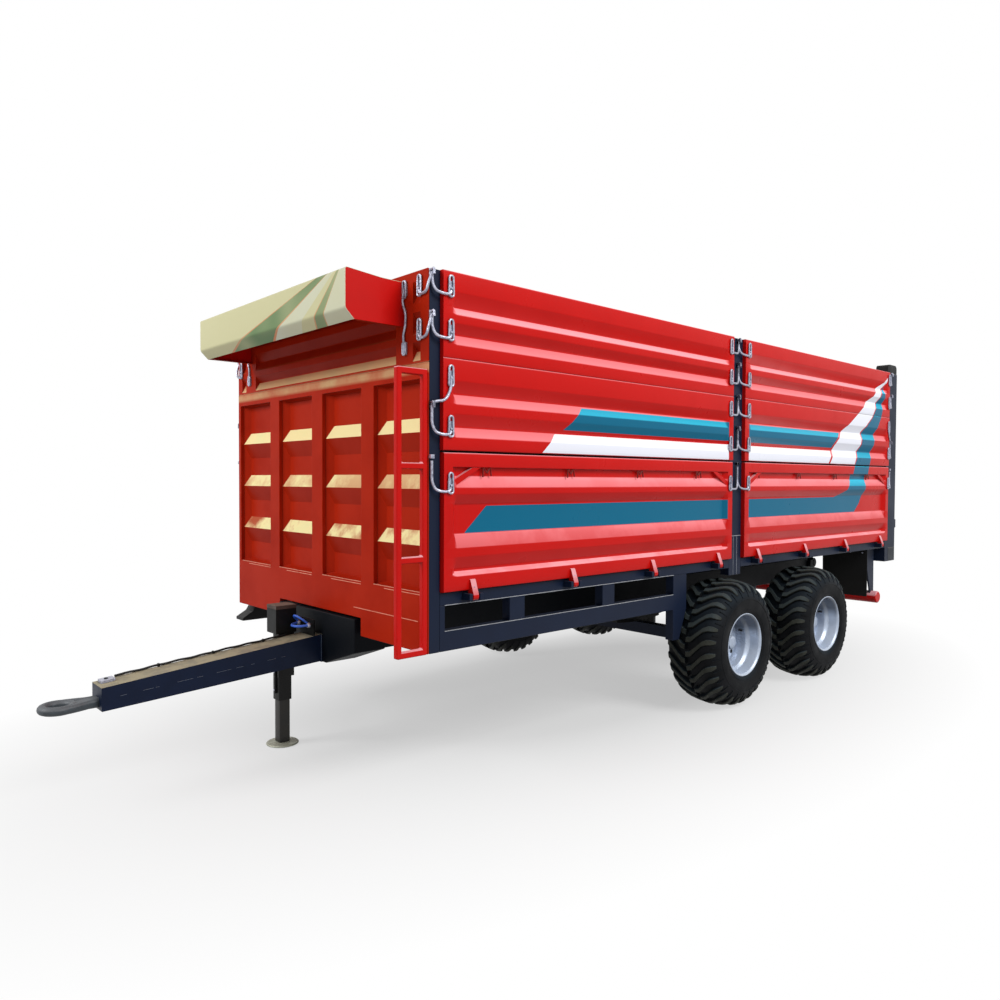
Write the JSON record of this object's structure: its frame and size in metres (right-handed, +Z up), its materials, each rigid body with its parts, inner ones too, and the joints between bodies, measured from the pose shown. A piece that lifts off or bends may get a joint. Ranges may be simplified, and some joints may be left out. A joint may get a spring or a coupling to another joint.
{
  "type": "tandem-axle tipping farm trailer",
  "caption": "Tandem-axle tipping farm trailer with high ribbed side boards, drop sides, top-hung tailgate, drawbar and parking jack.",
  "frame": {"origin": "on the ground under the middle of the whole trailer", "axes": "+Y to the rear (the drawbar points to -Y), +X to the trailer's left, +Z up"},
  "size_m": [2.614, 7.038, 2.648],
  "materials": {
    "body_red": "gloss enamel",
    "navy_paint": "gloss enamel",
    "black_paint": "satin enamel",
    "bare_steel": "worn",
    "zinc": "zinc plated",
    "chrome_rod": "ground",
    "rim_silver": "silver enamel",
    "tyre_rubber": "matt",
    "flap_rubber": "matt",
    "lamp_red": "moulded",
    "blue_hose": "matt"
  },
  "bodies": {
    "chassis": {"chassis_rails": "navy_paint", "chassis_front_box": "navy_paint", "chassis_cross_members": "navy_paint", "tip_hinge": "navy_paint", "drawbar": "navy_paint", "tow_eye": "black_paint", "service_bracket": "black_paint", "service_hose": "blue_hose", "jack_housing": "black_paint", "axles": "navy_paint", "leaf_springs": "black_paint", "spring_hangers": "navy_paint", "equalisers": "navy_paint"},
    "bed": {"bed_rails": "navy_paint", "bed_cross_members": "navy_paint", "bed_side_rails": "navy_paint", "bed_floor": "navy_paint", "rear_sill": "navy_paint", "side_skirts": "navy_paint", "front_pillars": "navy_paint", "centre_pillars": "navy_paint", "rear_posts": "navy_paint", "gate_pivot_blocks": "black_paint", "front_wall": "body_red", "front_upper_board": "body_red", "hood": "body_red", "ladder": "body_red", "middle_boards": "body_red", "top_boards": "body_red", "board_latches": "zinc", "hinge_lugs": "navy_paint", "underrun_bar": "body_red", "underrun_brackets": "navy_paint", "mud_flaps": "flap_rubber", "flap_hangers": "navy_paint", "tail_lamps": "lamp_red", "wheel_chock": "black_paint"},
    "jack_leg": {"jack_leg": "bare_steel"},
    "tailgate": {"tailgate": "body_red"},
    "drop_side_left_front": {"drop_side_left_front": "body_red"},
    "drop_side_right_front": {"drop_side_right_front": "body_red"},
    "drop_side_left_rear": {"drop_side_left_rear": "body_red"},
    "drop_side_right_rear": {"drop_side_right_rear": "body_red"},
    "wheel_front_left": {"tyre_front_left": "tyre_rubber", "rim_front_left": "rim_silver"},
    "wheel_front_right": {"tyre_front_right": "tyre_rubber", "rim_front_right": "rim_silver"},
    "wheel_rear_left": {"tyre_rear_left": "tyre_rubber", "rim_rear_left": "rim_silver"},
    "wheel_rear_right": {"tyre_rear_right": "tyre_rubber", "rim_rear_right": "rim_silver"},
    "ram_barrel": {"ram_barrel": "black_paint"},
    "ram_stage_1": {"ram_stage_1": "chrome_rod"},
    "ram_stage_2": {"ram_stage_2": "chrome_rod"},
    "ram_stage_3": {"ram_stage_3": "chrome_rod"},
    "ram_stage_4": {"ram_stage_4": "chrome_rod"}
  },
  "joints": [
    {"name": "wheel_front_left_spin", "type": "hinge", "parent": "chassis", "child": "wheel_front_left", "pos_m": [1.105, 0.454, 0.437], "axis": [1, 0, 0], "continuous": true},
    {"name": "wheel_front_right_spin", "type": "hinge", "parent": "chassis", "child": "wheel_front_right", "pos_m": [-1.105, 0.454, 0.437], "axis": [1, 0, 0], "continuous": true},
    {"name": "wheel_rear_left_spin", "type": "hinge", "parent": "chassis", "child": "wheel_rear_left", "pos_m": [1.105, 1.653, 0.437], "axis": [1, 0, 0], "continuous": true},
    {"name": "wheel_rear_right_spin", "type": "hinge", "parent": "chassis", "child": "wheel_rear_right", "pos_m": [-1.105, 1.653, 0.437], "axis": [1, 0, 0], "continuous": true},
    {"name": "jack_slide", "type": "slide", "parent": "chassis", "child": "jack_leg", "axis": [0, 0, 1], "range_m": [0, 0.2]},
    {"name": "bed_tip", "type": "hinge", "parent": "chassis", "child": "bed", "pos_m": [0, 3.228, 0.74], "axis": [-1, 0, 0], "range_deg": [0, 45]},
    {"name": "drop_side_left_front_hinge", "type": "hinge", "parent": "bed", "child": "drop_side_left_front", "pos_m": [1.115, -0.7025, 0.965], "axis": [0, 1, 0], "range_deg": [0, 105]},
    {"name": "drop_side_left_rear_hinge", "type": "hinge", "parent": "bed", "child": "drop_side_left_rear", "pos_m": [1.115, 2.012, 0.965], "axis": [0, 1, 0], "range_deg": [0, 105]},
    {"name": "drop_side_right_front_hinge", "type": "hinge", "parent": "bed", "child": "drop_side_right_front", "pos_m": [-1.115, -0.7025, 0.965], "axis": [0, -1, 0], "range_deg": [0, 105]},
    {"name": "drop_side_right_rear_hinge", "type": "hinge", "parent": "bed", "child": "drop_side_right_rear", "pos_m": [-1.115, 2.012, 0.965], "axis": [0, -1, 0], "range_deg": [0, 105]},
    {"name": "tailgate_hinge", "type": "hinge", "parent": "bed", "child": "tailgate", "pos_m": [0, 3.388, 2.606], "axis": [1, 0, 0], "range_deg": [0, 80]},
    {"name": "ram_lean", "type": "hinge", "parent": "chassis", "child": "ram_barrel", "pos_m": [0, 1.0535, 0.69], "axis": [-1, 0, 0], "range_deg": [0, 24]},
    {"name": "ram_stage_1_slide", "type": "slide", "parent": "ram_barrel", "child": "ram_stage_1", "axis": [0, 0, 1], "range_m": [0, 0.417]},
    {"name": "ram_stage_2_slide", "type": "slide", "parent": "ram_stage_1", "child": "ram_stage_2", "axis": [0, 0, 1], "range_m": [0, 0.417]},
    {"name": "ram_stage_3_slide", "type": "slide", "parent": "ram_stage_2", "child": "ram_stage_3", "axis": [0, 0, 1], "range_m": [0, 0.417]},
    {"name": "ram_stage_4_slide", "type": "slide", "parent": "ram_stage_3", "child": "ram_stage_4", "axis": [0, 0, 1], "range_m": [0, 0.417]}
  ],
  "couplings": [
    {"joint": "ram_lean", "follows": "bed_tip", "ratio": 0.52},
    {"joint": "ram_stage_1_slide", "follows": "bed_tip", "m_per_rad": 0.5256},
    {"joint": "ram_stage_2_slide", "follows": "bed_tip", "m_per_rad": 0.5256},
    {"joint": "ram_stage_3_slide", "follows": "bed_tip", "m_per_rad": 0.5256},
    {"joint": "ram_stage_4_slide", "follows": "bed_tip", "m_per_rad": 0.5256}
  ]
}
